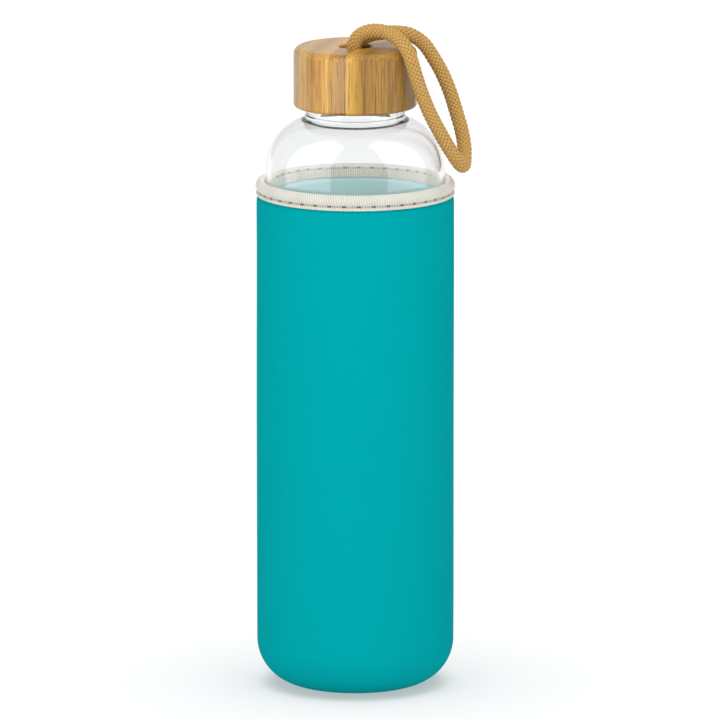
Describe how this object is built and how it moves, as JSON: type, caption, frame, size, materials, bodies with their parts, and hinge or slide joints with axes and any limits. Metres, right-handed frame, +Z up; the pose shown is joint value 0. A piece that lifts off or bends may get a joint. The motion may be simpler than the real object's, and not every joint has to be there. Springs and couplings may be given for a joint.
{
  "type": "glass water bottle",
  "caption": "Clear glass bottle with a domed shoulder, padded sleeve with bound edge, turned bamboo screw lid and braided cord carry loop.",
  "frame": {"origin": "centre of the sleeve's underside, on the surface the bottle stands on", "axes": "+Z up the bottle's axis, -Y towards the viewer's front, +X to the right, where the loop hangs; the sleeve's seam is at +Y"},
  "size_m": [0.0781, 0.0718, 0.2439],
  "materials": {
    "teal_knit": "matte knit",
    "neoprene": "matte foam",
    "pale_lining": "matte knit",
    "binding": "fine ribbed tape",
    "sewing_thread": "soft sheen",
    "clear_glass": "polished",
    "bamboo": "satin lacquer",
    "liner_plastic": "moulded",
    "silicone": "matte translucent",
    "cord": "braided cotton"
  },
  "bodies": {
    "sleeve": {"sleeve_outer_fabric": "teal_knit", "sleeve_foam_core": "neoprene", "sleeve_lining": "pale_lining", "base_fabric": "teal_knit", "base_foam": "neoprene", "base_lining": "pale_lining", "binding_tape": "binding", "binding_stitches": "sewing_thread", "side_seam_stitches": "sewing_thread", "base_seam_stitches": "sewing_thread"},
    "bottle": {"glass_bottle": "clear_glass"},
    "seal": {"seal_ring": "silicone"},
    "lid": {"bamboo_strip_1": "bamboo", "bamboo_strip_2": "bamboo", "bamboo_strip_3": "bamboo", "bamboo_strip_4": "bamboo", "bamboo_strip_5": "bamboo", "bamboo_strip_6": "bamboo", "bamboo_strip_7": "bamboo", "thread_liner": "liner_plastic"},
    "carry_loop": {"carry_cord": "cord", "cord_knot": "cord"}
  },
  "joints": [
    {"name": "bottle_pull_out", "type": "slide", "parent": "sleeve", "child": "bottle", "axis": [0, 0, 1], "range_m": [0, 0.19]},
    {"name": "lid_lift", "type": "slide", "parent": "bottle", "child": "seal", "axis": [0, 0, 1], "range_m": [0, 0.0085]},
    {"name": "lid_turn", "type": "hinge", "parent": "seal", "child": "lid", "pos_m": [0, 0, 0.2135], "axis": [0, 0, 1], "range_deg": [0, 720]},
    {"name": "loop_swivel", "type": "hinge", "parent": "lid", "child": "carry_loop", "pos_m": [0, 0, 0.2348], "axis": [0, 0, 1], "continuous": true}
  ],
  "couplings": [
    {"joint": "lid_lift", "follows": "lid_turn", "m_per_rad": 0.00067376}
  ]
}
